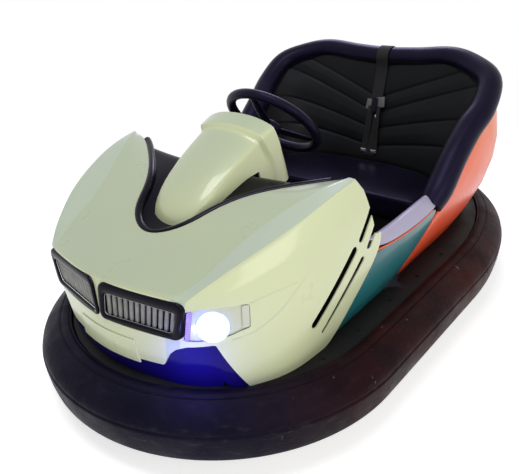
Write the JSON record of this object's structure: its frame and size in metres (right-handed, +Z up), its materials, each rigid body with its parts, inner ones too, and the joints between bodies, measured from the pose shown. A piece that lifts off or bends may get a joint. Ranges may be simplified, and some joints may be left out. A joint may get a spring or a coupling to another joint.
{
  "type": "bumper car",
  "caption": "Two-seat electric bumper car with moulded glass-fibre body, wrap-round rubber bumper, steering wheel and a steered driving wheel under the bonnet.",
  "frame": {"origin": "on the floor, under the middle of the rubber bumper", "axes": "nose towards -Y, the driver's left towards +X, +Z up"},
  "size_m": [1.16, 2.02, 0.848],
  "materials": {
    "rubber": "worn matt",
    "white_shell": "gloss, moulded glass-fibre",
    "orange_shell": "gloss, moulded glass-fibre",
    "teal_shell": "gloss, moulded glass-fibre",
    "grey_shell": "gloss",
    "black_gloss": "piano black",
    "slat": "silver-grey bars",
    "vinyl": "soft-grained vinyl",
    "webbing": "woven webbing",
    "black_steel": "black satin paint",
    "steel": "plain turned or pressed steel",
    "lamp_bowl": "gloss black",
    "lamp_lens": "clear lens",
    "battery_case": "moulded case"
  },
  "bodies": {
    "chassis": {"bumper_tyre": "rubber", "tyre_rim": "black_steel", "chassis_pan": "black_steel", "hood_shell": "white_shell", "foot_plate": "steel", "intake_panel": "black_gloss", "grille_frame_l": "black_gloss", "grille_frame_r": "black_gloss", "grille_slats": "slat", "headlamp_bowl_l": "lamp_bowl", "headlamp_bowl_r": "lamp_bowl", "headlamp_lens_l": "lamp_lens", "headlamp_lens_r": "lamp_lens", "dash_panel": "black_gloss", "column_cowl": "white_shell", "column_tube": "black_steel", "bulkhead": "black_steel", "side_panel_l": "teal_shell", "side_panel_r": "teal_shell", "sill_cap_l": "grey_shell", "sill_cap_r": "grey_shell", "rear_shell": "orange_shell", "seat_box": "vinyl", "seat_cushion": "vinyl", "seat_back": "vinyl", "seat_roll": "vinyl", "belt_strap": "webbing", "pedal_bracket": "steel", "accelerator_pedal": "steel", "battery": "battery_case", "drive_bridge": "black_steel", "rear_bracket_l": "black_steel", "rear_bracket_r": "black_steel", "rear_axle": "steel"},
    "steering": {"steering_wheel": "vinyl", "steering_shaft": "steel"},
    "drive_fork": {"drive_fork": "steel", "drive_axle": "steel", "drive_motor": "black_steel"},
    "drive_wheel": {"drive_tyre": "rubber", "drive_hub": "steel"},
    "rear_wheel_l": {"rear_tyre_l": "rubber", "rear_hub_l": "steel"},
    "rear_wheel_r": {"rear_tyre_r": "rubber", "rear_hub_r": "steel"}
  },
  "joints": [
    {"name": "fork_turn", "type": "hinge", "parent": "chassis", "child": "drive_fork", "pos_m": [0, -0.61, 0.2], "axis": [0, 0, 1], "continuous": true},
    {"name": "steering_turn", "type": "hinge", "parent": "chassis", "child": "steering", "pos_m": [0, -0.173, 0.711], "axis": [0, 0.7314, 0.682], "continuous": true},
    {"name": "drive_roll", "type": "hinge", "parent": "drive_fork", "child": "drive_wheel", "pos_m": [0, -0.61, 0.1], "axis": [1, 0, 0], "continuous": true},
    {"name": "rear_roll_l", "type": "hinge", "parent": "chassis", "child": "rear_wheel_l", "pos_m": [0.285, 0.5, 0.085], "axis": [1, 0, 0], "continuous": true},
    {"name": "rear_roll_r", "type": "hinge", "parent": "chassis", "child": "rear_wheel_r", "pos_m": [-0.285, 0.5, 0.085], "axis": [1, 0, 0], "continuous": true}
  ],
  "couplings": [
    {"joint": "steering_turn", "follows": "fork_turn", "ratio": 1}
  ]
}
